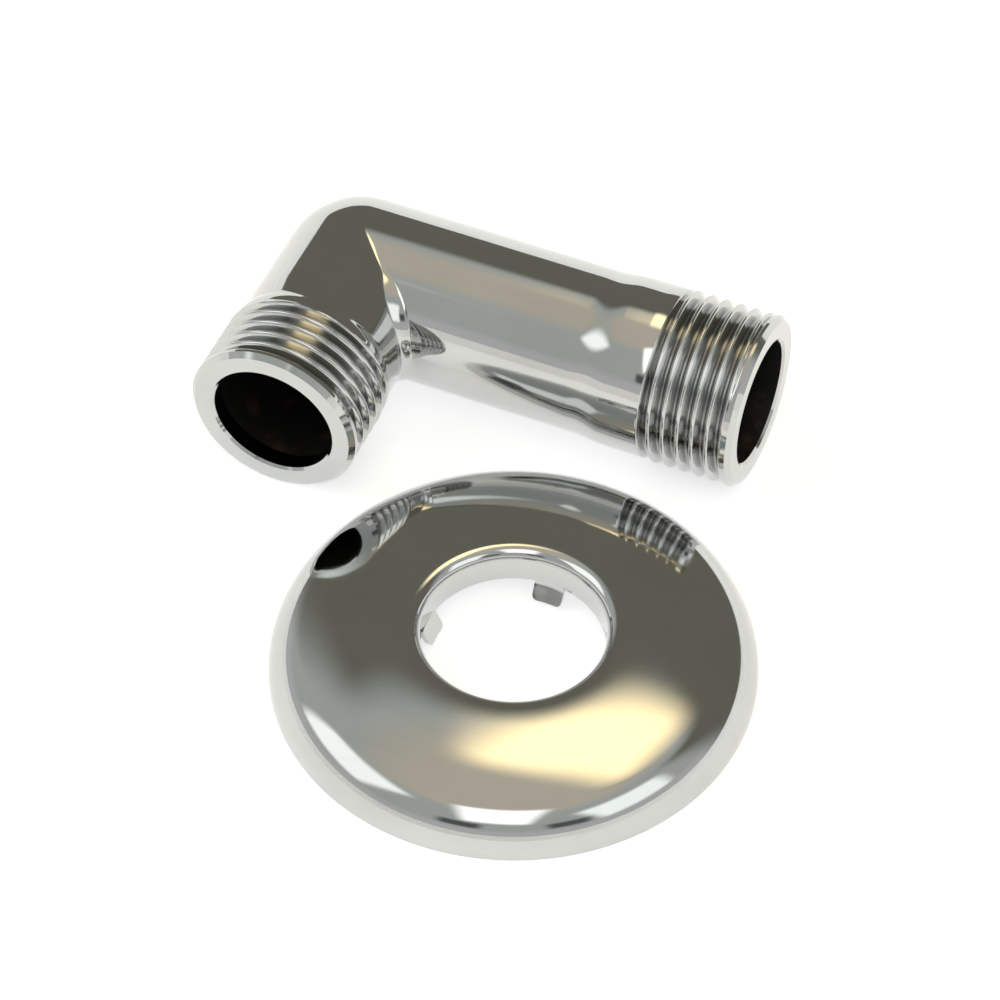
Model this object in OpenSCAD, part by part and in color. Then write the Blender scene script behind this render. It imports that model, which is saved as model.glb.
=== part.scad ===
// Wall outlet elbow for a shower, with the round flange that covers the hole in the wall.
// The long wall leg screws into the wall, and the hose screws onto the short hose leg.
// The elbow lies on its side, as it comes to rest, and the flange lies beside it, dome up.

/* [Elbow] */
// Outer diameter of the smooth part of both legs
body_d = 19.9; // [18:0.1:20.4]
// Diameter of the water channel through both legs
bore_d = 15; // [12:0.1:16]
// Length of the wall leg, from the crossing of the two axes to its end
wall_leg_len = 51.3; // [46:0.1:80]
// Length of the hose leg, from the crossing of the two axes to its end
hose_leg_len = 25.5; // [24:0.1:45]
// Radius of the rounding in the inner corner, where it is tightest
throat_r = 1.2; // [0.8:0.1:3]
// How much narrower the inner corner's filling is than the legs, so that it fades out
throat_fade = 1.45; // [1:0.05:3]

/* [Threads] */
// Outer diameter of both threads
thread_d = 20.955; // [20.9:0.005:26]
// Length of the wall leg's thread
wall_thread_len = 11.9; // [8:0.1:16]
// Length of the hose leg's thread
hose_thread_len = 10; // [7:0.1:11]
// Chamfer at the start of each thread
thread_chamfer = 0.6; // [0.2:0.05:1]
// Chamfer at each mouth of the water channel
mouth_chamfer = 0.3; // [0.1:0.05:0.8]

/* [Necks] */
// Diameter of the neck between the smooth part and the thread
neck_d = 20.6; // [20.4:0.05:20.9]
// Length of the wall leg's straight neck
wall_neck_len = 4.6; // [2:0.1:8]
// Length of the swell that leads up to the wall leg's neck
wall_swell_len = 4.4; // [2:0.1:8]
// Length of the hose leg's straight neck
hose_neck_len = 0.4; // [0.2:0.1:1]
// Length of the swell that leads up to the hose leg's neck
hose_swell_len = 1.6; // [1:0.1:2]

/* [Flange] */
// Outer diameter of the flange
flange_d = 55.9; // [50:0.1:90]
// Height of the flange over the wall
flange_h = 7.5; // [7:0.1:12]
// Thickness of the pressed sheet
sheet_t = 0.6; // [0.4:0.05:0.8]
// Height of the straight edge at the rim
rim_wall_h = 0.35; // [0.2:0.05:1]
// Radius of the rounding from the rim into the dome
rim_r = 5.5; // [3:0.1:5.7]
// Radius of the rounding from the dome into the hole
lip_r = 1.5; // [1:0.1:2.5]
// Depth of the collar inside the hole, from the top of the flange
collar_depth = 4.5; // [3.5:0.1:5]
// Gap all round between the thread and the collar
slide_gap = 0.12; // [0.05:0.01:0.5]

/* [Spring tabs] */
// Number of tabs on the collar
tab_count = 4; // [2:1:6]
// Width of each tab
tab_w = 3.6; // [2:0.1:6]
// How far each tab reaches below the collar
tab_drop = 2.2; // [1:0.1:2.3]
// How far the tips, at rest, reach in past the surface of the smooth leg that they grip
tab_grip = 0.4; // [0.1:0.05:0.6]
// Radius of the rounded corners at each tab's tip
tab_corner_r = 0.7; // [0.3:0.1:0.9]

/* [Layout] */
// Gap between the wall leg's thread and the flange, seen from above
wall_leg_gap = 1.9; // [1:0.1:30]
// Gap between the end of the hose leg and the flange, seen from above
hose_leg_gap = 2.5; // [1:0.1:30]

/* [Hidden] */
$fn = 96;

body_r = body_d / 2;
bore_r = bore_d / 2;
thread_r = thread_d / 2;
neck_r = neck_d / 2;
// The filling's ring stays this far under the legs, so that it never just grazes them
throat_sink = 0.02;
throat_ring_r = body_r - throat_fade;
// Steps along each swell
swell_steps = 6;
// How far a cut runs past the face it opens
cut_over = 1;
// How far each tab reaches up inside the collar's wall
tab_root = 0.5;

flange_r = flange_d / 2;
collar_r = thread_r + slide_gap;
// Place of the lip's centre, which is also where the dome is level
lip_x = collar_r + lip_r;
collar_low = flange_h - collar_depth;
// How far each tab leans in on its way down
tab_lean = collar_r - body_r + tab_grip;
// Slope, in degrees, at which the rim's rounding runs into the dome without a kink
dome_slope = 2 * atan((flange_h - rim_wall_h - rim_r) / (flange_r - rim_r - lip_x));
dome_r = (flange_r - rim_r * (1 - sin(dome_slope)) - lip_x) / sin(dome_slope);

// Steps along the three arcs of the flange's section
rim_steps = 14;
dome_steps = 10;
lip_steps = 9;

// The flange lies clear of both legs
flange_y = -(thread_r + wall_leg_gap + flange_r);
past_hose_leg = max(0, -flange_y - hose_leg_len);
flange_x = thread_r + sqrt(pow(flange_r + hose_leg_gap, 2) - pow(past_hose_leg, 2));

// The origin is below the middle of everything, on the surface that the parts lie on
mid_x = (max(wall_leg_len, flange_x + flange_r) - thread_r) / 2;
mid_y = (thread_r - max(hose_leg_len, flange_r - flange_y)) / 2;

// Outline of one leg, with its axis upright: smooth part, swell, neck and chamfered thread
module leg_outline(leg_len, thread_len, neck_len, swell_len) {
    neck_start = leg_len - thread_len - neck_len;
    swell_start = neck_start - swell_len;
    swell = [for (i = [0 : swell_steps])
        [body_r + (neck_r - body_r) * (1 - cos(180 * i / swell_steps)) / 2,
         swell_start + swell_len * i / swell_steps]];
    polygon(concat(
        [[0, 0], [body_r, 0]],
        swell,
        [[neck_r, leg_len - thread_len],
         [thread_r, leg_len - thread_len],
         [thread_r, leg_len - thread_chamfer],
         [thread_r - thread_chamfer, leg_len],
         [0, leg_len]]));
}

// Water channel of one leg, with its chamfered mouth
module leg_bore(leg_len) {
    cylinder(r = bore_r, h = leg_len + cut_over);
    translate([0, 0, leg_len - mouth_chamfer])
        cylinder(r1 = bore_r, r2 = bore_r + mouth_chamfer + cut_over, h = mouth_chamfer + cut_over);
}

// Turns an upright leg into the wall leg, along +X
module along_wall_leg() {
    rotate([0, 90, 0]) children();
}

// Turns an upright leg into the hose leg, along -Y
module along_hose_leg() {
    rotate([90, 0, 0]) children();
}

// Rounding of the inner corner: a quarter ring that is narrower than the legs
module throat() {
    corner = body_r + throat_r;
    translate([corner, -corner, 0])
        rotate([0, 0, 90])
            rotate_extrude(angle = 90)
                translate([throat_r + throat_sink + throat_ring_r, 0])
                    circle(r = throat_ring_r);
}

// Elbow: one cast and turned piece with its water channel
module elbow() {
    color("silver")
        translate([-mid_x, -mid_y, thread_r])
            difference() {
                union() {
                    along_wall_leg()
                        rotate_extrude()
                            leg_outline(wall_leg_len, wall_thread_len, wall_neck_len, wall_swell_len);
                    along_hose_leg()
                        rotate_extrude()
                            leg_outline(hose_leg_len, hose_thread_len, hose_neck_len, hose_swell_len);
                    sphere(r = body_r);
                    throat();
                }
                along_wall_leg() leg_bore(wall_leg_len);
                along_hose_leg() leg_bore(hose_leg_len);
                sphere(r = bore_r);
            }
}

// Points along an arc from angle a0 to a1, without the first one when it follows another arc
function arc(centre, r, a0, a1, steps, first = 0) =
    [for (i = [first : steps])
        let (a = a0 + (a1 - a0) * i / steps)
        [centre[0] + r * cos(a), centre[1] + r * sin(a)]];

// Line through rim, dome and lip that lies the given depth under the outer face
function sheet_line(depth) = concat(
    arc([flange_r - rim_r, rim_wall_h], rim_r - depth, 0, 90 - dome_slope, rim_steps),
    arc([lip_x, flange_h - dome_r], dome_r - depth, 90 - dome_slope, 90, dome_steps, 1),
    arc([lip_x, flange_h - lip_r], lip_r - depth, 90, 180, lip_steps, 1));

function reversed(points) = [for (i = [len(points) - 1 : -1 : 0]) points[i]];

// Section of the pressed sheet: rim, dome, lip and collar in one line of even thickness
module flange_section() {
    polygon(concat(
        [[flange_r, 0]],
        sheet_line(0),
        [[collar_r, collar_low], [collar_r + sheet_t, collar_low]],
        reversed(sheet_line(sheet_t)),
        [[flange_r - sheet_t, 0]]));
}

// Section of one tab, which starts inside the collar's wall and leans in
module tab_section() {
    collar_out = collar_r + sheet_t;
    root_z = collar_low + tab_root;
    tip_z = collar_low - tab_drop;
    polygon([[collar_r, root_z],
             [collar_out, root_z],
             [collar_out, collar_low],
             [collar_out - tab_lean, tip_z],
             [collar_r - tab_lean, tip_z],
             [collar_r, collar_low]]);
}

// Face of one tab, seen along its radius: as wide as the tab, with rounded lower corners
module tab_face() {
    tip_z = collar_low - tab_drop;
    straight = tab_w / 2 - tab_corner_r;
    translate([-tab_w / 2, tip_z + tab_corner_r]) square([tab_w, collar_depth]);
    translate([-straight, tip_z]) square([2 * straight, collar_depth]);
    for (side = [-1, 1])
        translate([side * straight, tip_z + tab_corner_r]) circle(r = tab_corner_r);
}

// One spring tab, on the +X side of the hole
module tab() {
    intersection() {
        rotate_extrude() tab_section();
        rotate([90, 0, 90]) linear_extrude(height = lip_x) tab_face();
    }
}

// Wall flange: one pressed sheet with its collar and spring tabs
module wall_flange() {
    color("silver")
        translate([flange_x - mid_x, flange_y - mid_y, 0]) {
            rotate_extrude() flange_section();
            for (i = [0 : tab_count - 1])
                rotate([0, 0, 360 * i / tab_count]) tab();
        }
}

elbow();
wall_flange();
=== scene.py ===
"""Dressed model of a chromed wall outlet elbow and its pressed wall flange, on a pale studio table."""

import logging
import math
from dataclasses import dataclass, field
from enum import Enum
from typing import Any, Iterable, Mapping, Sequence

import bmesh
import bpy
import numpy as np
from mathutils import Matrix, Vector


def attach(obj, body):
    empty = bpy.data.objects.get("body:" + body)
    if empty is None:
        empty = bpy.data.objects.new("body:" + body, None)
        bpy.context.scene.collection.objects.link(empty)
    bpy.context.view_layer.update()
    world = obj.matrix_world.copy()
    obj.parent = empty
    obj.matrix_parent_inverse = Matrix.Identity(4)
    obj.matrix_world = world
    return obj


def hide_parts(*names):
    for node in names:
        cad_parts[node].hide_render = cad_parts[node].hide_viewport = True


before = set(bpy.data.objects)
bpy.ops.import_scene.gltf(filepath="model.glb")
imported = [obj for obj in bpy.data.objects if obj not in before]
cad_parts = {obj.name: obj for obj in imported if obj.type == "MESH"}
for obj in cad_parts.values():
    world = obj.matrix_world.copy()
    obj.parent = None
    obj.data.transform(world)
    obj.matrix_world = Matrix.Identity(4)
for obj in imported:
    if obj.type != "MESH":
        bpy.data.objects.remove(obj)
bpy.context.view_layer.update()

LOG = logging.getLogger("wall_outlet_elbow")
MM = 0.001
BODY = "root"
RECESS = "recess"

# Where the two axes of the elbow cross, and the middle of the flange, in mm
ELBOW_MIDDLE = np.array([-27.273005, 28.9, 10.4775])
FLANGE_MIDDLE = np.array([9.800505, -11.4275, 0.0])


def smooth_step(values: np.ndarray) -> np.ndarray:
    """Eases from 0 to 1 over the unit interval.

    Args:
        values: Positions, where 0 is the start of the step and 1 its end.

    Returns:
        The eased values, between 0 and 1.
    """
    inside = np.clip(values, 0.0, 1.0)
    return inside * inside * (3.0 - 2.0 * inside)


class Wire:
    """A number in a node tree, on which plain arithmetic adds Math nodes."""

    def __init__(self, board: "Board", socket: bpy.types.NodeSocket) -> None:
        """Keeps the socket and the board that it is on.

        Args:
            board: The board that new nodes go to.
            socket: The output socket that carries the number.
        """
        self.board = board
        self.socket = socket

    def math(self, operation: str, *values: Any) -> "Wire":
        """Adds one Math node.

        Args:
            operation: The Math node's operation.
            *values: The node's inputs, in order.

        Returns:
            The node's result.
        """
        inputs = dict(enumerate(values))
        return self.board.wire("ShaderNodeMath", {"operation": operation}, inputs)

    def __add__(self, other: Any) -> "Wire":
        """Adds a number."""
        return self.math("ADD", self, other)

    def __radd__(self, other: Any) -> "Wire":
        """Adds itself to a number."""
        return self.math("ADD", other, self)

    def __sub__(self, other: Any) -> "Wire":
        """Takes a number away."""
        return self.math("SUBTRACT", self, other)

    def __rsub__(self, other: Any) -> "Wire":
        """Takes itself away from a number."""
        return self.math("SUBTRACT", other, self)

    def __mul__(self, other: Any) -> "Wire":
        """Multiplies by a number."""
        return self.math("MULTIPLY", self, other)

    def __rmul__(self, other: Any) -> "Wire":
        """Multiplies a number by itself."""
        return self.math("MULTIPLY", other, self)

    def __truediv__(self, other: Any) -> "Wire":
        """Divides by a number."""
        return self.math("DIVIDE", self, other)

    def __neg__(self) -> "Wire":
        """Turns the sign."""
        return self.math("MULTIPLY", self, -1.0)

    def size(self) -> "Wire":
        """Drops the sign."""
        return self.math("ABSOLUTE", self)

    def most(self, other: Any) -> "Wire":
        """Takes the larger of itself and a number."""
        return self.math("MAXIMUM", self, other)

    def least(self, other: Any) -> "Wire":
        """Takes the smaller of itself and a number."""
        return self.math("MINIMUM", self, other)

    def step(self, start: float, end: float) -> "Wire":
        """Eases from 0 to 1 between two values.

        Args:
            start: Where the result is 0.
            end: Where the result is 1.

        Returns:
            The eased value.
        """
        settings = {"interpolation_type": "SMOOTHSTEP"}
        inputs = {"Value": self, "From Min": start, "From Max": end}
        return self.board.wire("ShaderNodeMapRange", settings, inputs)


class Board:
    """A node tree that is built by naming node types, settings and inputs."""

    def __init__(self, tree: bpy.types.NodeTree) -> None:
        """Empties the tree.

        Args:
            tree: The node tree of a material or a world.
        """
        self.tree = tree
        tree.nodes.clear()

    def node(
        self, kind: str, settings: Mapping[str, Any] | None = None, inputs: Mapping[Any, Any] | None = None
    ) -> bpy.types.Node:
        """Adds one node.

        Args:
            kind: The node's type.
            settings: Properties of the node, set before its inputs. A ramp's stops go under "stops".
            inputs: Numbers, colours, wires or sockets, by the input's name or place.

        Returns:
            The new node.
        """
        made = self.tree.nodes.new(kind)
        for name, value in (settings or {}).items():
            if name == "stops":
                self._set_stops(made, value)
            else:
                setattr(made, name, value)
        for name, value in (inputs or {}).items():
            self._feed(made.inputs[name], value)
        return made

    def wire(self, kind: str, settings: Mapping[str, Any] | None = None, inputs: Mapping[Any, Any] | None = None) -> Wire:
        """Adds one node and gives its first output that is in use.

        Args:
            kind: The node's type.
            settings: As in node.
            inputs: As in node.

        Returns:
            The output as a wire.
        """
        made = self.node(kind, settings, inputs)
        outputs = [socket for socket in made.outputs if socket.enabled]
        return Wire(self, outputs[0])

    def mix(self, share: Any, first: Any, second: Any, blend: str = "MIX") -> Wire:
        """Mixes two colours.

        Args:
            share: How much of the second colour there is, from 0 to 1.
            first: The first colour.
            second: The second colour.
            blend: The Mix node's blend type.

        Returns:
            The mixed colour.
        """
        settings = {"data_type": "RGBA", "blend_type": blend}
        made = self.node("ShaderNodeMix", settings, {0: share, 6: first, 7: second})
        return Wire(self, made.outputs[2])

    def dot(self, vector: Any, direction: Sequence[float]) -> Wire:
        """Measures a vector along a fixed direction.

        Args:
            vector: The vector's socket.
            direction: The direction to measure along.

        Returns:
            The dot product.
        """
        made = self.node("ShaderNodeVectorMath", {"operation": "DOT_PRODUCT"}, {0: vector, 1: direction})
        return Wire(self, made.outputs["Value"])

    def noise(self, place: Any, scale: float, detail: float = 2.0, roughness: float = 0.5) -> Wire:
        """Adds a noise texture.

        Args:
            place: The coordinates' socket.
            scale: The texture's scale, in cells per metre.
            detail: Number of octaves.
            roughness: Weight of the finer octaves.

        Returns:
            The noise, from 0 to 1 around one half.
        """
        inputs = {"Vector": place, "Scale": scale, "Detail": detail, "Roughness": roughness}
        return self.wire("ShaderNodeTexNoise", None, inputs)

    def _feed(self, target: bpy.types.NodeSocket, value: Any) -> None:
        """Sets or links one input socket.

        Args:
            target: The input socket.
            value: A number, a colour, a wire or an output socket.
        """
        if isinstance(value, Wire):
            self.tree.links.new(value.socket, target)
        elif isinstance(value, bpy.types.NodeSocket):
            self.tree.links.new(value, target)
        elif target.type == "RGBA":
            target.default_value = (*value[:3], 1.0)
        else:
            target.default_value = value

    @staticmethod
    def _set_stops(ramp: bpy.types.Node, stops: Sequence[tuple[float, Sequence[float]]]) -> None:
        """Sets a colour ramp's stops.

        Args:
            ramp: The ramp node.
            stops: Pairs of a position and a colour.
        """
        elements = ramp.color_ramp.elements
        while len(elements) < len(stops):
            elements.new(1.0)
        for element, (position, colour) in zip(elements, stops):
            element.position = position
            element.color = (*colour[:3], 1.0)


@dataclass(frozen=True)
class PolishedChrome:
    """Bright chrome plating on polished brass, with faint haze, wipe marks, casting waves and painted shade in the
    thread grooves.

    Attributes:
        name: The material's name.
        tint: Colour of the plating.
        haze_tint: Colour where the plating is a little dull.
        groove_shade_tint: Colour at the bottom of a thread groove.
        roughness: Roughness of the clean plating.
        haze: Roughness added where the plating is dull.
        recess_rough: Roughness added in a groove.
        wave: Height of the slow waves that polishing leaves, in metres.
        grain: Height of the fine grain, in metres.
    """

    name: str = "polished_chrome"
    tint: tuple[float, float, float] = (0.575, 0.58, 0.575)
    haze_tint: tuple[float, float, float] = (0.53, 0.535, 0.525)
    groove_shade_tint: tuple[float, float, float] = (0.3, 0.3, 0.3)
    roughness: float = 0.05
    haze: float = 0.05
    recess_rough: float = 0.12
    wave: float = 0.00001
    grain: float = 0.0000006

    def build(self) -> bpy.types.Material:
        """Makes the material.

        Returns:
            The new material.
        """
        material = bpy.data.materials.new(self.name)
        material.use_nodes = True
        board = Board(material.node_tree)
        place = board.node("ShaderNodeTexCoord").outputs["Object"]
        cloud = board.noise(place, 90.0, 3.0).step(0.35, 0.7)
        wipe_place = board.node(
            "ShaderNodeMapping", {"vector_type": "POINT"}, {"Vector": place, "Scale": (60.0, 420.0, 260.0)}
        ).outputs[0]
        wipe = board.noise(wipe_place, 1.0, 4.0, 0.6).step(0.45, 0.8)
        recess = Wire(board, board.node("ShaderNodeAttribute", {"attribute_name": RECESS}).outputs["Fac"])
        dull = (cloud * 0.6 + wipe * 0.4).least(1.0)
        plated = board.mix(dull, self.tint, self.haze_tint)
        # Painted shade: the plating's colour darkens towards the bottom of each thread groove.
        colour = board.mix(recess, plated, self.groove_shade_tint)
        rough = dull * self.haze + recess * self.recess_rough + self.roughness
        height = board.noise(place, 130.0, 1.0) * self.wave + board.noise(place, 2600.0, 2.0) * self.grain
        bump = board.node("ShaderNodeBump", None, {"Strength": 1.0, "Distance": 1.0, "Height": height})
        shader = board.node(
            "ShaderNodeBsdfPrincipled",
            None,
            {"Base Color": colour, "Metallic": 1.0, "Roughness": rough, "Normal": bump.outputs[0]},
        )
        board.node("ShaderNodeOutputMaterial", None, {"Surface": shader.outputs[0]})
        return material


@dataclass(frozen=True)
class PaintedShadeChannel:
    """Unplated wall of the water channel, painted near-black as shade for its unlit inside, with a trace of reddish
    brass.

    Attributes:
        name: The material's name.
        tint: Near-black colour, painted shade inside the channel.
        shaded_brass_tint: Reddish brass in random patches, darkened as painted shade.
        roughness: Roughness of the wall.
        grain: Height of the drilled surface's grain, in metres.
    """

    name: str = "channel_wall"
    tint: tuple[float, float, float] = (0.012, 0.011, 0.01)
    shaded_brass_tint: tuple[float, float, float] = (0.05, 0.026, 0.018)
    roughness: float = 0.38
    grain: float = 0.00001

    def build(self) -> bpy.types.Material:
        """Makes the material.

        Returns:
            The new material.
        """
        material = bpy.data.materials.new(self.name)
        material.use_nodes = True
        board = Board(material.node_tree)
        place = board.node("ShaderNodeTexCoord").outputs["Object"]
        patches = board.noise(place, 380.0, 4.0, 0.65).step(0.5, 0.78)
        # Painted shade: the channel's wall is near-black, with dark reddish brass patches that differ at random.
        colour = board.mix(patches, self.tint, self.shaded_brass_tint)
        rough = patches * 0.2 + self.roughness
        height = board.noise(place, 900.0, 3.0) * self.grain
        bump = board.node("ShaderNodeBump", None, {"Strength": 1.0, "Distance": 1.0, "Height": height})
        shader = board.node(
            "ShaderNodeBsdfPrincipled",
            None,
            {"Base Color": colour, "Metallic": 0.3, "Roughness": rough, "Normal": bump.outputs[0]},
        )
        board.node("ShaderNodeOutputMaterial", None, {"Surface": shader.outputs[0]})
        return material


@dataclass(frozen=True)
class PaleTable:
    """White table paper that keeps the object's shadow.

    Attributes:
        name: The material's name.
        tint: Colour of the paper.
        glow: Light added for the camera and for what mirrors the paper.
    """

    name: str = "table_paper"
    tint: tuple[float, float, float] = (0.86, 0.86, 0.865)
    glow: float = 0.55

    def build(self) -> bpy.types.Material:
        """Makes the material.

        Returns:
            The new material.
        """
        material = bpy.data.materials.new(self.name)
        material.use_nodes = True
        board = Board(material.node_tree)
        path = board.node("ShaderNodeLightPath")
        seen = Wire(board, path.outputs["Is Camera Ray"])
        seen = seen.most(Wire(board, path.outputs["Is Glossy Ray"]))
        seen = seen.most(Wire(board, path.outputs["Is Transmission Ray"]))
        paper = board.node("ShaderNodeBsdfDiffuse", None, {"Color": self.tint, "Roughness": 0.0})
        light = board.node("ShaderNodeEmission", None, {"Color": (1.0, 1.0, 1.0), "Strength": seen * self.glow})
        both = board.node("ShaderNodeAddShader", None, {0: paper.outputs[0], 1: light.outputs[0]})
        board.node("ShaderNodeOutputMaterial", None, {"Surface": both.outputs[0]})
        return material


def heading(azimuth: float, elevation: float) -> Vector:
    """Gives the direction to a place on the sky.

    Args:
        azimuth: Degrees from -Y towards +X.
        elevation: Degrees above the horizon.

    Returns:
        The unit vector.
    """
    turn, lift = math.radians(azimuth), math.radians(elevation)
    return Vector((math.sin(turn) * math.cos(lift), -math.cos(turn) * math.cos(lift), math.sin(lift)))


@dataclass(frozen=True)
class SoftPanel:
    """One soft rectangle in the room around the table: a light, a window or a dark screen.

    Attributes:
        azimuth: Place of its middle, in degrees from -Y towards +X.
        elevation: Height of its middle, in degrees.
        half_width: Half of its width, in degrees.
        half_height: Half of its height, in degrees.
        edge: Width of its soft edge, in degrees.
        light: Its colour and strength.
        tilt: Turn about its middle, in degrees.
    """

    azimuth: float
    elevation: float
    half_width: float
    half_height: float
    edge: float
    light: tuple[float, float, float]
    tilt: float = 0.0

    def mask(self, board: Board, direction: Any) -> Wire:
        """Makes the mask that is 1 on the panel.

        Args:
            board: The world's board.
            direction: Socket with the direction that is looked in.

        Returns:
            The mask.
        """
        middle = heading(self.azimuth, self.elevation)
        level = Vector((0.0, 0.0, 1.0)).cross(middle).normalized()
        upright = middle.cross(level)
        turn = Matrix.Rotation(math.radians(self.tilt), 3, middle)
        ahead = board.dot(direction, middle)
        depth = ahead.most(0.02)
        across = (board.dot(direction, turn @ level) / depth).size()
        along = (board.dot(direction, turn @ upright) / depth).size()
        width, height = (math.tan(math.radians(half)) for half in (self.half_width, self.half_height))
        edge = math.tan(math.radians(self.edge)) / 2.0
        inside = across.step(width + edge, width - edge) * along.step(height + edge, height - edge)
        return inside * ahead.step(0.02, 0.1)


@dataclass(frozen=True)
class StudioRoom:
    """The room around the table: light low walls, a dark wall at the back, a warm ceiling and soft panels.

    Attributes:
        wall: Colour of the low surroundings.
        side: Colour of the room at middle height.
        back: Colour of the dark wall behind the table.
        ceiling: Colour overhead.
        panels: Lights, windows and screens, each laid over the ones before.
    """

    wall: tuple[float, float, float] = (0.62, 0.62, 0.62)
    side: tuple[float, float, float] = (0.52, 0.55, 0.53)
    back: tuple[float, float, float] = (0.185, 0.18, 0.145)
    ceiling: tuple[float, float, float] = (0.66, 0.61, 0.5)
    panels: tuple[SoftPanel, ...] = (
        SoftPanel(178.0, 67.0, 13.0, 9.5, 9.0, (2.6, 2.1, 1.2)),
        SoftPanel(-65.0, 43.0, 18.0, 16.0, 8.0, (1.6, 1.65, 1.62)),
        SoftPanel(77.0, 38.0, 15.0, 14.0, 7.0, (1.5, 1.56, 1.52)),
        SoftPanel(15.0, 57.0, 12.0, 16.0, 6.0, (1.9, 1.9, 1.85)),
        SoftPanel(0.0, 31.0, 8.0, 5.5, 5.0, (0.12, 0.12, 0.12)),
        SoftPanel(47.0, 31.0, 8.0, 5.5, 5.0, (0.12, 0.12, 0.12)),
    )

    def build(self) -> None:
        """Gives the scene its world."""
        world = bpy.data.worlds.new("studio_room")
        world.use_nodes = True
        bpy.context.scene.world = world
        board = Board(world.node_tree)
        direction = board.node("ShaderNodeTexCoord").outputs["Generated"]
        up = board.dot(direction, (0.0, 0.0, 1.0))
        rearward = board.dot(direction, heading(178.0, 0.0))
        level = (1.0 - up * up).most(0.0001).math("SQRT", (1.0 - up * up).most(0.0001))
        behind = (rearward / level).step(0.3, 0.62)
        colour = board.mix(up.step(0.3, 0.46), self.wall, self.side)
        back_height = up.step(0.08, 0.2) * up.step(0.87, 0.78)
        colour = board.mix(behind * back_height, colour, self.back)
        colour = board.mix(up.step(0.84, 0.95), colour, self.ceiling)
        for panel in self.panels:
            colour = board.mix(panel.mask(board, direction), colour, panel.light)
        shade = board.node("ShaderNodeBackground", None, {"Color": colour, "Strength": 1.0})
        board.node("ShaderNodeOutputWorld", None, {"Surface": shade.outputs[0]})


class Slot(Enum):
    """Material slots of a piece, in order."""

    CHROME = 0
    CHANNEL = 1


@dataclass
class Skin:
    """Vertices, faces and the recess value from which one mesh is made.

    Attributes:
        points: Blocks of vertex places, in mm.
        recess: Blocks of recess values, one a vertex.
        faces: Corner numbers of each face.
        slots: Material slot of each face.
    """

    points: list[np.ndarray] = field(default_factory=list)
    recess: list[np.ndarray] = field(default_factory=list)
    faces: list[tuple[int, ...]] = field(default_factory=list)
    slots: list[int] = field(default_factory=list)

    def add(self, block: np.ndarray, recess: np.ndarray | None = None) -> int:
        """Adds vertices.

        Args:
            block: Places in mm, one row a vertex.
            recess: Their recess values, or None for zeros.

        Returns:
            The number of the first new vertex.
        """
        first = sum(len(part) for part in self.points)
        self.points.append(block)
        self.recess.append(np.zeros(len(block)) if recess is None else recess)
        return first

    def close_rings(
        self, rings: Sequence[np.ndarray], recess: Sequence[np.ndarray], slots: Sequence[Slot], looped: bool
    ) -> None:
        """Joins rings of equal length into a tube.

        Args:
            rings: The rings, each closed on itself.
            recess: The recess values of each ring.
            slots: The slot of the strip that starts at each ring.
            looped: Whether the last ring joins the first.
        """
        count = len(rings[0])
        first = self.add(np.vstack(rings), np.concatenate(recess))
        strips = len(rings) if looped else len(rings) - 1
        for strip in range(strips):
            here = first + strip * count
            there = first + ((strip + 1) % len(rings)) * count
            for corner in range(count):
                onward = (corner + 1) % count
                self.faces.append((here + corner, here + onward, there + onward, there + corner))
                self.slots.append(slots[strip].value)

    def make(self, name: str, materials: Sequence[bpy.types.Material], sharp_deg: float) -> bpy.types.Object:
        """Makes the object.

        Args:
            name: The object's name.
            materials: Its materials, in slot order.
            sharp_deg: Edges that bend more than this many degrees stay sharp.

        Returns:
            The new object.
        """
        mesh = bpy.data.meshes.new(name)
        places = np.vstack(self.points) * MM
        mesh.from_pydata(places.tolist(), [], self.faces)
        for material in materials:
            mesh.materials.append(material)
        mesh.polygons.foreach_set("material_index", self.slots)
        mesh.polygons.foreach_set("use_smooth", [True] * len(mesh.polygons))
        layer = mesh.attributes.new(RECESS, "FLOAT", "POINT")
        layer.data.foreach_set("value", np.concatenate(self.recess).astype(np.float32))
        mesh.update()
        self._face_outward(mesh)
        mesh.set_sharp_from_angle(angle=math.radians(sharp_deg))
        piece = bpy.data.objects.new(name, mesh)
        bpy.context.scene.collection.objects.link(piece)
        return piece

    @staticmethod
    def _face_outward(mesh: bpy.types.Mesh) -> None:
        """Turns every face outward.

        Args:
            mesh: The closed mesh.
        """
        work = bmesh.new()
        work.from_mesh(mesh)
        bmesh.ops.recalc_face_normals(work, faces=work.faces)
        work.to_mesh(mesh)
        work.free()


@dataclass(frozen=True)
class PipeThread:
    """Half-inch pipe thread with rounded crests and roots.

    Attributes:
        crest_r: Radius at the crests, in mm.
        pitch: Distance from turn to turn, in mm.
        rounding: Radius of the crests and roots, in mm.
        flank_deg: Angle between a flank and the plane across the axis.
    """

    crest_r: float = 10.4775
    pitch: float = 25.4 / 14.0
    rounding: float = 0.2492
    flank_deg: float = 27.5

    def drop(self, turns: np.ndarray) -> np.ndarray:
        """Measures how far the surface lies under the crests.

        Args:
            turns: Phase in turns, where whole numbers are the middle of the groove.

        Returns:
            The depth in mm.
        """
        flank = math.radians(self.flank_deg)
        off_root = np.abs(turns - np.round(turns)) * self.pitch
        off_crest = self.pitch / 2.0 - off_root
        bend = self.rounding * math.cos(flank)
        bend_drop = self.rounding * (1.0 - math.sin(flank))
        steep = 1.0 / math.tan(flank)
        full = 2.0 * bend_drop + (self.pitch / 2.0 - 2.0 * bend) * steep
        crest = self.rounding - np.sqrt(np.maximum(self.rounding**2 - off_crest**2, 0.0))
        root = full - self.rounding + np.sqrt(np.maximum(self.rounding**2 - off_root**2, 0.0))
        side = bend_drop + (off_crest - bend) * steep
        return np.where(off_crest < bend, crest, np.where(off_root < bend, root, side))

    @property
    def depth(self) -> float:
        """Full depth of the groove, in mm."""
        return float(self.drop(np.array([0.0]))[0])


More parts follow.
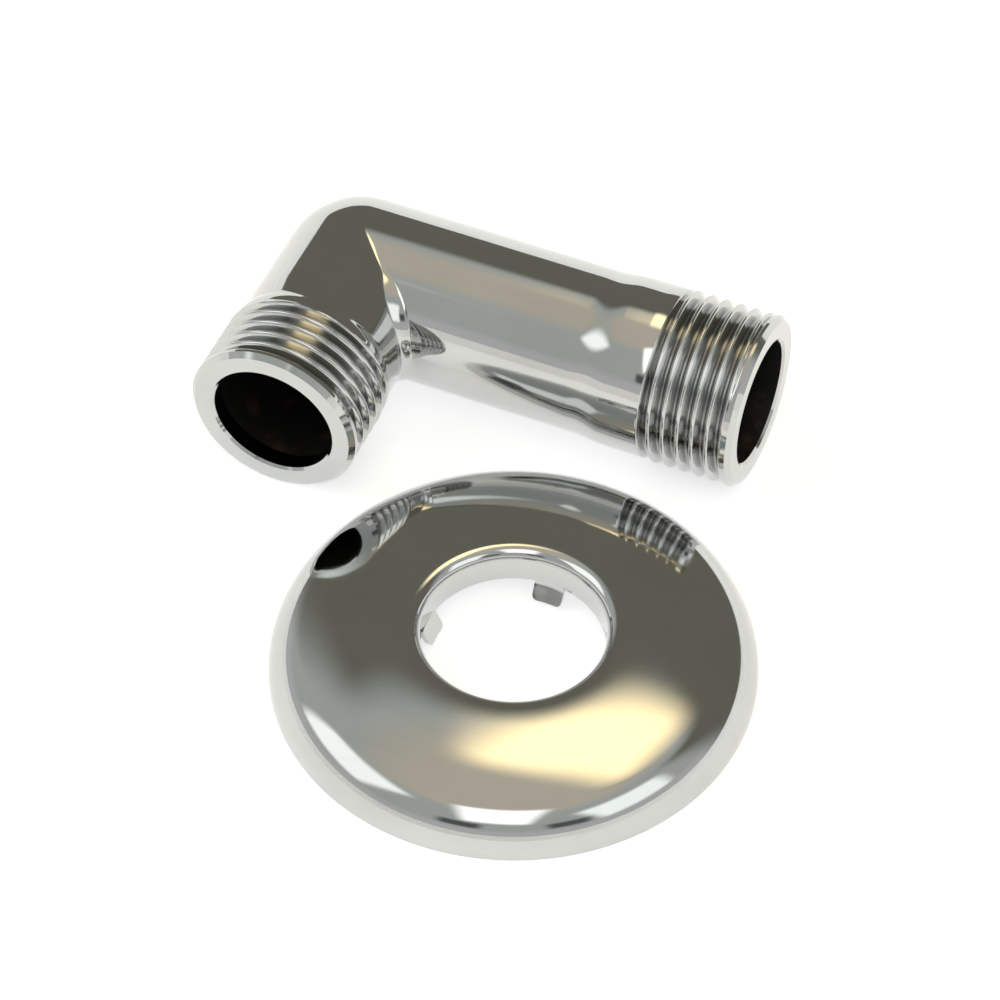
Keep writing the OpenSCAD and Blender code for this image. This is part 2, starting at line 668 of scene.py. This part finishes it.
@dataclass(frozen=True)
class Leg:
    """Outside of one leg: smooth part, swell, neck, thread and chamfered end.

    Attributes:
        length: From the crossing of the axes to the end, in mm.
        thread_len: Length of the thread.
        neck_len: Length of the straight neck.
        swell_len: Length of the swell up to the neck.
        turn: Sign of the thread's turn as seen in the leg's own ring angle.
        phase: Start of the thread, in turns.
        body_r: Radius of the smooth part.
        neck_r: Radius of the neck.
        chamfer: Chamfer at the end.
        run_in: Length over which the grooves grow from the neck.
        end_ring: Length of the plain ring at the end.
        thread: The thread's form.
    """

    length: float
    thread_len: float
    neck_len: float
    swell_len: float
    turn: float
    phase: float
    body_r: float = 9.95
    neck_r: float = 10.3
    chamfer: float = 0.6
    run_in: float = 0.7
    end_ring: float = 1.05
    thread: PipeThread = PipeThread()

    @property
    def thread_start(self) -> float:
        """Where the thread starts, in mm from the crossing of the axes."""
        return self.length - self.thread_len

    @property
    def neck_start(self) -> float:
        """Where the straight neck starts."""
        return self.thread_start - self.neck_len

    @property
    def swell_start(self) -> float:
        """Where the swell starts."""
        return self.neck_start - self.swell_len

    def outside(self, along: float, angles: np.ndarray) -> tuple[np.ndarray, np.ndarray]:
        """Gives one ring of the outside.

        Args:
            along: Distance from the crossing of the axes, in mm.
            angles: Ring angles, in radians.

        Returns:
            Radius and recess value at each angle.
        """
        rise = 0.5 - 0.5 * math.cos(math.pi * min(max((along - self.swell_start) / self.swell_len, 0.0), 1.0))
        smooth = self.body_r + (self.neck_r - self.body_r) * rise
        radius = np.full(len(angles), smooth)
        if along <= self.thread_start:
            return radius, np.zeros(len(angles))
        into = along - self.thread_start
        turns = into / self.thread.pitch + self.turn * angles / (2.0 * math.pi) + self.phase
        drop = self.thread.drop(turns)
        grown = smooth_step(np.array([into / self.run_in]))[0]
        plain = smooth_step(np.array([(along - self.length + self.end_ring + 0.35) / 0.35]))[0]
        cut = self.thread.crest_r - drop * (1.0 - plain)
        radius = smooth + (cut - smooth) * grown
        limit = self.thread.crest_r - self.chamfer + (self.length - along)
        # The recess value drives the painted shade and the added roughness at the bottom of the grooves.
        recess = np.clip(drop / self.thread.depth - 0.35, 0.0, 1.0) / 0.65 * grown * (1.0 - plain)
        return np.minimum(radius, limit), recess

    def stations(self, start: float) -> list[float]:
        """Lists where the rings of the outside stand.

        Args:
            start: The first distance, in mm.

        Returns:
            The distances, in order.
        """
        smooth = np.linspace(start, self.swell_start, max(2, int((self.swell_start - start) / 2.5) + 2))
        swell = np.linspace(self.swell_start, self.neck_start, max(6, int(self.swell_len / 0.25)))
        neck = np.linspace(self.neck_start, self.thread_start, max(2, int(self.neck_len / 1.2) + 1))
        thread_end = self.length - self.chamfer
        steps = int((thread_end - self.thread_start) / (self.thread.pitch / 18.0))
        turns = np.linspace(self.thread_start, thread_end, steps)
        tip = np.linspace(thread_end, self.length, 5)
        return sorted({round(float(value), 5) for value in np.concatenate([smooth, swell, neck, turns, tip])})


@dataclass
class Elbow:
    """The cast and turned elbow: two threaded legs, a ball corner and the water channel.

    Attributes:
        wall_leg: The long leg, along +X.
        hose_leg: The short leg, along -Y.
        bore_r: Radius of the water channel, in mm.
        mouth: Chamfer at each mouth.
        throat_r: Radius of the tightest rounding in the inner corner.
        throat_fade: How much narrower the corner's filling is than the legs.
        blend: Width over which the corner's surfaces melt together.
        around: Vertices in a ring.
        fan_steps: Rings in the corner.
        channel_fan_steps: Rings in the channel's corner.
    """

    wall_leg: Leg = field(default_factory=lambda: Leg(51.3, 11.9, 4.6, 4.4, -1.0, 0.1))
    hose_leg: Leg = field(default_factory=lambda: Leg(25.5, 10.0, 0.4, 1.6, 1.0, 0.1))
    bore_r: float = 7.5
    mouth: float = 0.3
    throat_r: float = 1.2
    throat_fade: float = 1.45
    blend: float = 0.9
    around: int = 192
    fan_steps: int = 72
    channel_fan_steps: int = 40

    @property
    def body_r(self) -> float:
        """Radius of the smooth part, in mm."""
        return self.wall_leg.body_r

    @property
    def fan_middle(self) -> float:
        """Distance of the corner's upright fan axis from both legs' axes."""
        return self.body_r + self.throat_r

    @property
    def angles(self) -> np.ndarray:
        """Ring angles, from the outer side of the bend over the top."""
        return np.linspace(0.0, 2.0 * math.pi, self.around, endpoint=False)

    @staticmethod
    def _limb(points: np.ndarray, axis: np.ndarray, radius: float) -> tuple[np.ndarray, np.ndarray]:
        """Measures from a round limb that starts at the crossing of the axes.

        Args:
            points: Places, one row each.
            axis: The limb's unit direction.
            radius: The limb's radius.

        Returns:
            Signed distance and outward direction at each place.
        """
        along = np.maximum(points @ axis, 0.0)
        offset = points - along[:, None] * axis
        far = np.maximum(np.linalg.norm(offset, axis=1), 1e-9)
        return far - radius, offset / far[:, None]

    def _filling(self, points: np.ndarray) -> tuple[np.ndarray, np.ndarray]:
        """Measures from the ring that fills the inner corner.

        Args:
            points: Places, one row each.

        Returns:
            Signed distance and outward direction at each place.
        """
        ring_r = self.body_r - self.throat_fade
        core = self.throat_r + ring_r
        middle = np.array([self.fan_middle, -self.fan_middle, 0.0])
        flat = points - middle
        flat[:, 2] = 0.0
        reach = np.maximum(np.linalg.norm(flat, axis=1), 1e-9)
        nearest = middle + flat / reach[:, None] * core
        offset = points - nearest
        far = np.maximum(np.linalg.norm(offset, axis=1), 1e-9)
        return far - ring_r, offset / far[:, None]

    def _melt(
        self, first: tuple[np.ndarray, np.ndarray], second: tuple[np.ndarray, np.ndarray]
    ) -> tuple[np.ndarray, np.ndarray]:
        """Joins two surfaces, softly where they meet at an angle.

        Args:
            first: Signed distance and outward direction of one surface.
            second: The same of the other.

        Returns:
            Signed distance and outward direction of both together.
        """
        bend = 1.0 - np.clip((first[1] * second[1]).sum(axis=1), -1.0, 1.0)
        width = np.maximum(self.blend * np.minimum(bend, 1.0), 1e-9)
        gap = first[0] - second[0]
        near = np.maximum(width - np.abs(gap), 0.0) / width
        share = np.clip(0.5 + 0.5 * gap / width, 0.0, 1.0)
        outward = first[1] * (1.0 - share)[:, None] + second[1] * share[:, None]
        outward /= np.maximum(np.linalg.norm(outward, axis=1), 1e-9)[:, None]
        return np.minimum(first[0], second[0]) - near * near * width / 4.0, outward

    def _distance(self, points: np.ndarray, radius: float, filled: bool) -> np.ndarray:
        """Measures from the bend's surface.

        Args:
            points: Places, one row each, from the crossing of the axes.
            radius: Radius of both limbs.
            filled: Whether the inner corner has its filling.

        Returns:
            Signed distance at each place.
        """
        wall = self._limb(points, np.array([1.0, 0.0, 0.0]), radius)
        hose = self._limb(points, np.array([0.0, -1.0, 0.0]), radius)
        both = self._melt(wall, hose)
        if not filled:
            return both[0]
        return self._melt(both, self._filling(points))[0]

    def _fan_ring(self, turn: float, radius: float, filled: bool) -> np.ndarray:
        """Casts one ring of the bend in an upright plane of the fan.

        Args:
            turn: The plane's angle, from 0 at the wall leg to a right angle at the hose leg.
            radius: Radius of both limbs.
            filled: Whether the inner corner has its filling.

        Returns:
            The ring's places, from the crossing of the axes.
        """
        outward = np.array([-math.sin(turn), math.cos(turn), 0.0])
        corner = np.array([self.fan_middle, -self.fan_middle, 0.0])
        core = self.fan_middle / max(math.cos(turn), math.sin(turn))
        start = corner + outward * core
        angles = self.angles
        rays = np.cos(angles)[:, None] * outward + np.sin(angles)[:, None] * np.array([0.0, 0.0, 1.0])
        low = np.zeros(self.around)
        high = np.full(self.around, 30.0)
        inward = rays @ outward
        high = np.where(inward < -0.2, np.minimum(high, core / np.maximum(-inward, 1e-6)), high)
        for _ in range(36):
            middle = (low + high) / 2.0
            outside = self._distance(start + rays * middle[:, None], radius, filled) > 0.0
            high = np.where(outside, middle, high)
            low = np.where(outside, low, middle)
        return start + rays * low[:, None]

    def _leg_ring(self, is_wall: bool, along: float, radius: np.ndarray) -> np.ndarray:
        """Places one ring of a straight leg.

        Args:
            is_wall: Whether it is the wall leg.
            along: Distance from the crossing of the axes.
            radius: Radius at each ring angle.

        Returns:
            The ring's places, from the crossing of the axes.
        """
        side = radius * np.cos(self.angles)
        height = radius * np.sin(self.angles)
        steady = np.full(self.around, along)
        columns = (steady, side, height) if is_wall else (-side, -steady, height)
        return np.column_stack(columns)

    def _turned_corner(self) -> np.ndarray:
        """Lists the fan's angles, closest together at the middle of the bend."""
        even = np.linspace(-1.0, 1.0, self.fan_steps + 1)
        return math.pi / 4.0 * (1.0 + 0.75 * even + 0.25 * even**3)

    def build(self, chrome: bpy.types.Material, channel: bpy.types.Material) -> bpy.types.Object:
        """Makes the elbow as one closed skin.

        Args:
            chrome: The plating.
            channel: The channel's wall.

        Returns:
            The new object.
        """
        rings: list[np.ndarray] = []
        recess: list[np.ndarray] = []
        slots: list[Slot] = []
        plain = np.zeros(self.around)

        def lay(ring: np.ndarray, depth: np.ndarray, slot: Slot) -> None:
            """Adds one ring and the slot of the strip after it."""
            rings.append(ring)
            recess.append(depth)
            slots.append(slot)

        def lay_leg(leg: Leg, is_wall: bool, outward: bool) -> None:
            """Adds the outside of one leg."""
            places = leg.stations(self.fan_middle)
            for along in places if outward else reversed(places):
                radius, depth = leg.outside(along, self.angles)
                lay(self._leg_ring(is_wall, along, radius), depth, Slot.CHROME)

        def lay_mouth(leg: Leg, is_wall: bool, inward: bool) -> None:
            """Adds the end face and the mouth of one leg."""
            face_out = leg.thread.crest_r - leg.chamfer
            face = [(leg.length, face_out + (self.bore_r + self.mouth - face_out) * share) for share in (0.35, 1.0)]
            bore = [(leg.length - self.mouth, self.bore_r), (leg.length - self.mouth - 2.0, self.bore_r)]
            profile = [*face, *bore] if inward else [*reversed(bore), *reversed(face)]
            for along, radius in profile:
                deep = along < leg.length - self.mouth - 1.0
                last = not inward and along < leg.length - self.mouth + 1e-6
                slot = Slot.CHANNEL if deep or (last and deep) else Slot.CHROME
                lay(self._leg_ring(is_wall, along, np.full(self.around, radius)), plain, slot)

        lay_leg(self.wall_leg, True, False)
        for turn in self._turned_corner()[1:-1]:
            lay(self._fan_ring(float(turn), self.body_r, True), plain, Slot.CHROME)
        lay_leg(self.hose_leg, False, True)
        lay_mouth(self.hose_leg, False, True)
        lay(self._leg_ring(False, self.fan_middle, np.full(self.around, self.bore_r)), plain, Slot.CHANNEL)
        for turn in np.linspace(math.pi / 2.0, 0.0, self.channel_fan_steps + 1)[1:-1]:
            lay(self._fan_ring(float(turn), self.bore_r, False), plain, Slot.CHANNEL)
        lay(self._leg_ring(True, self.fan_middle, np.full(self.around, self.bore_r)), plain, Slot.CHANNEL)
        lay_mouth(self.wall_leg, True, False)
        skin = Skin()
        skin.close_rings([ring + ELBOW_MIDDLE for ring in rings], recess, slots, True)
        piece = skin.make("elbow_skin", (chrome, channel), 38.0)
        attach(piece, BODY)
        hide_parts("elbow")
        return piece


@dataclass
class WallFlange:
    """The pressed flange: rim, dome, lip, collar and spring tabs.

    Attributes:
        outer_r: Radius of the rim, in mm.
        height: Height over the wall.
        sheet: Thickness of the sheet.
        rim_wall: Height of the straight edge at the rim.
        rim_r: Radius of the rounding from the rim into the dome.
        lip_r: Radius of the rounding from the dome into the hole.
        hole_r: Radius inside the collar.
        collar_depth: Depth of the collar from the flange's top.
        edge_r: Rounding of the sheet's cut edges.
        tab_count: Number of spring tabs.
        tab_width: Width of each tab.
        tab_drop: How far a tab reaches below the collar.
        tab_lean: How far a tab leans in on its way down.
        tab_corner: Radius of a tab's lower corners.
        tab_root: How far a tab reaches up inside the collar's wall.
        around: Vertices in a ring.
    """

    outer_r: float = 27.95
    height: float = 7.5
    sheet: float = 0.6
    rim_wall: float = 0.35
    rim_r: float = 5.5
    lip_r: float = 1.5
    hole_r: float = 10.5975
    collar_depth: float = 4.5
    edge_r: float = 0.12
    tab_count: int = 4
    tab_width: float = 3.6
    tab_drop: float = 2.2
    tab_lean: float = 1.0475
    tab_corner: float = 0.7
    tab_root: float = 0.5
    around: int = 288

    @property
    def collar_low(self) -> float:
        """Height of the collar's lower edge, in mm."""
        return self.height - self.collar_depth

    @property
    def lip_x(self) -> float:
        """Radius at which the dome is level."""
        return self.hole_r + self.lip_r

    @staticmethod
    def _arc(middle: tuple[float, float], radius: float, start: float, end: float, steps: int) -> list[tuple[float, float]]:
        """Lists points along an arc.

        Args:
            middle: The arc's middle.
            radius: Its radius.
            start: First angle, in radians.
            end: Last angle, in radians.
            steps: Number of points.

        Returns:
            The points.
        """
        turns = np.linspace(start, end, steps)
        return [(middle[0] + radius * math.cos(turn), middle[1] + radius * math.sin(turn)) for turn in turns]

    def _sheet_line(self, depth: float) -> list[tuple[float, float]]:
        """Lists points from the rim over dome and lip, at a depth under the outer face.

        Args:
            depth: The depth in mm.

        Returns:
            Radius and height of each point.
        """
        run = self.outer_r - self.rim_r - self.lip_x
        slope = 2.0 * math.atan((self.height - self.rim_wall - self.rim_r) / run)
        dome_r = (self.outer_r - self.rim_r * (1.0 - math.sin(slope)) - self.lip_x) / math.sin(slope)
        quarter = math.pi / 2.0
        rim = self._arc((self.outer_r - self.rim_r, self.rim_wall), self.rim_r - depth, 0.0, quarter - slope, 26)
        dome = self._arc((self.lip_x, self.height - dome_r), dome_r - depth, quarter - slope, quarter, 22)
        lip = self._arc((self.lip_x, self.height - self.lip_r), self.lip_r - depth, quarter, 2.0 * quarter, 16)
        return rim + dome[1:] + lip[1:]

    def _section(self) -> list[tuple[float, float]]:
        """Lists the sheet's whole section, with rounded cut edges."""
        edge = self.edge_r
        half = math.pi / 2.0
        low = self.collar_low
        inner, outer = self.hole_r, self.hole_r + self.sheet
        foot_out, foot_in = self.outer_r, self.outer_r - self.sheet
        foot = self._arc((foot_in + edge, edge), edge, 2.0 * half, 3.0 * half, 4)
        foot += self._arc((foot_out - edge, edge), edge, -half, 0.0, 4)
        collar = self._arc((inner + edge, low + edge), edge, 2.0 * half, 3.0 * half, 4)
        collar += self._arc((outer - edge, low + edge), edge, -half, 0.0, 4)
        return foot + self._sheet_line(0.0) + collar + self._sheet_line(self.sheet)[::-1]

    def _add_tab(self, skin: Skin, turn: float) -> None:
        """Adds one closed spring tab.

        Args:
            skin: The skin that the tab goes to.
            turn: The tab's place around the hole, in radians.
        """
        across, rows = 18, 16
        half = self.tab_width / 2.0
        sides = half * np.sin(np.linspace(-math.pi / 2.0, math.pi / 2.0, across))
        straight = half - self.tab_corner
        past = np.maximum(np.abs(sides) - straight, 0.0)
        lift = self.tab_corner - np.sqrt(np.maximum(self.tab_corner**2 - past**2, 0.0))
        tips = self.collar_low - self.tab_drop + lift
        top = self.collar_low + self.tab_root
        shares = np.linspace(0.0, 1.0, rows)
        heights = top + (tips[None, :] - top) * shares[:, None]
        fall = np.maximum(self.collar_low - heights, 0.0) / self.tab_drop
        soft = 0.12
        lean = self.tab_lean * fall * fall / (fall + soft) * (1.0 + soft)
        width = np.broadcast_to(sides, heights.shape)
        grids = []
        for inset in (0.0, self.sheet):
            radius = self.hole_r - lean + inset
            reach = np.sqrt(radius**2 - width**2)
            spot = np.stack([reach, width, heights], axis=-1).reshape(-1, 3)
            cos_turn, sin_turn = math.cos(turn), math.sin(turn)
            spin = np.array([[cos_turn, -sin_turn, 0.0], [sin_turn, cos_turn, 0.0], [0.0, 0.0, 1.0]])
            grids.append(skin.add(spot @ spin.T + FLANGE_MIDDLE))
        front, back = grids
        border = [(0, col) for col in range(across)] + [(row, across - 1) for row in range(1, rows)]
        border += [(rows - 1, col) for col in range(across - 2, -1, -1)]
        border += [(row, 0) for row in range(rows - 2, 0, -1)]
        for row in range(rows - 1):
            for col in range(across - 1):
                corner = row * across + col
                square = (corner, corner + 1, corner + across + 1, corner + across)
                skin.faces.append(tuple(front + number for number in square))
                skin.faces.append(tuple(back + number for number in reversed(square)))
                skin.slots += [Slot.CHROME.value] * 2
        for (row_a, col_a), (row_b, col_b) in zip(border, border[1:] + border[:1]):
            here, there = row_a * across + col_a, row_b * across + col_b
            skin.faces.append((front + there, front + here, back + here, back + there))
            skin.slots.append(Slot.CHROME.value)

    def build(self, chrome: bpy.types.Material) -> bpy.types.Object:
        """Makes the flange with its tabs.

        Args:
            chrome: The plating.

        Returns:
            The new object.
        """
        turns = np.linspace(0.0, 2.0 * math.pi, self.around, endpoint=False)
        circle = np.column_stack([np.cos(turns), np.sin(turns)])
        rings = []
        for radius, height in self._section():
            ring = np.column_stack([circle * radius, np.full(self.around, height)])
            rings.append(ring + FLANGE_MIDDLE)
        skin = Skin()
        plain = [np.zeros(self.around)] * len(rings)
        skin.close_rings(rings, plain, [Slot.CHROME] * len(rings), True)
        for number in range(self.tab_count):
            self._add_tab(skin, 2.0 * math.pi * number / self.tab_count)
        piece = skin.make("flange_skin", (chrome,), 38.0)
        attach(piece, BODY)
        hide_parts("wall_flange")
        return piece


@dataclass
class Table:
    """The pale table paper, swept up into a low wall all round.

    Attributes:
        flat_r: Radius of the flat part, in mm.
        sweep_r: Radius of the sweep.
        wall_h: Height of the wall.
        around: Vertices in a ring.
    """

    flat_r: float = 1300.0
    sweep_r: float = 150.0
    wall_h: float = 290.0
    around: int = 96

    def build(self, paper: bpy.types.Material) -> bpy.types.Object:
        """Makes the table.

        Args:
            paper: The paper's material.

        Returns:
            The new object.
        """
        sweep = [
            (self.flat_r + self.sweep_r * math.sin(turn), self.sweep_r * (1.0 - math.cos(turn)))
            for turn in np.linspace(0.0, math.pi / 2.0, 12)
        ]
        profile = [(200.0, 0.0), (600.0, 0.0), *sweep, (self.flat_r + self.sweep_r, self.wall_h)]
        work = bmesh.new()
        turns = np.linspace(0.0, 2.0 * math.pi, self.around, endpoint=False)
        rings = []
        for radius, height in profile:
            spots = [(radius * math.cos(turn) * MM, radius * math.sin(turn) * MM, height * MM) for turn in turns]
            rings.append([work.verts.new(spot) for spot in spots])
        work.faces.new(rings[0])
        for inner, outer in zip(rings, rings[1:]):
            for corner in range(self.around):
                onward = (corner + 1) % self.around
                work.faces.new((inner[corner], outer[corner], outer[onward], inner[onward]))
        mesh = bpy.data.meshes.new("table_paper")
        for face in work.faces:
            face.smooth = True
        work.to_mesh(mesh)
        work.free()
        mesh.materials.append(paper)
        piece = bpy.data.objects.new("table_paper", mesh)
        bpy.context.scene.collection.objects.link(piece)
        return piece


@dataclass(frozen=True)
class Camera:
    """The camera, at the angle from which the object is shown.

    Attributes:
        azimuth: Degrees from -Y towards +X.
        elevation: Degrees above the table.
        distance: From the aim to the camera, in mm.
        aim: The point that the camera looks at, in mm.
        roll: Turn of the picture, in degrees.
        lens: Focal length on a sensor of 36 mm.
    """

    azimuth: float = 23.19
    elevation: float = 48.05
    distance: float = 538.85
    aim: tuple[float, float, float] = (-1.683, 11.38, 0.0)
    roll: float = 0.12
    lens: float = 164.587

    def build(self) -> bpy.types.Object:
        """Makes the camera and gives it to the scene.

        Returns:
            The new camera.
        """
        data = bpy.data.cameras.new("camera")
        data.lens = self.lens
        data.sensor_width = 36.0
        data.clip_start = 0.01
        data.clip_end = 20.0
        camera = bpy.data.objects.new("camera", data)
        back = heading(self.azimuth, self.elevation)
        spot = (Vector(self.aim) + back * self.distance) * MM
        turn = back.to_track_quat("Z", "Y").to_matrix() @ Matrix.Rotation(math.radians(self.roll), 3, "Z")
        camera.matrix_world = Matrix.Translation(spot) @ turn.to_4x4()
        bpy.context.scene.collection.objects.link(camera)
        bpy.context.scene.camera = camera
        return camera


def report(pieces: Iterable[bpy.types.Object]) -> None:
    """Logs the size of each piece.

    Args:
        pieces: The pieces.
    """
    for piece in pieces:
        mesh = piece.data
        triangles = sum(len(face.vertices) - 2 for face in mesh.polygons)
        LOG.info("%s: %d vertices, %d triangles", piece.name, len(mesh.vertices), triangles)


def main() -> None:
    """Builds the pieces in order."""
    logging.basicConfig(level=logging.INFO, format="%(name)s: %(message)s")
    bpy.context.scene.view_settings.view_transform = "Standard"
    chrome = PolishedChrome().build()
    channel = PaintedShadeChannel().build()
    StudioRoom().build()
    Camera().build()
    table = Table().build(PaleTable().build())
    elbow = Elbow().build(chrome, channel)
    flange = WallFlange().build(chrome)
    report((table, elbow, flange))


if __name__ == "__main__":
    main()
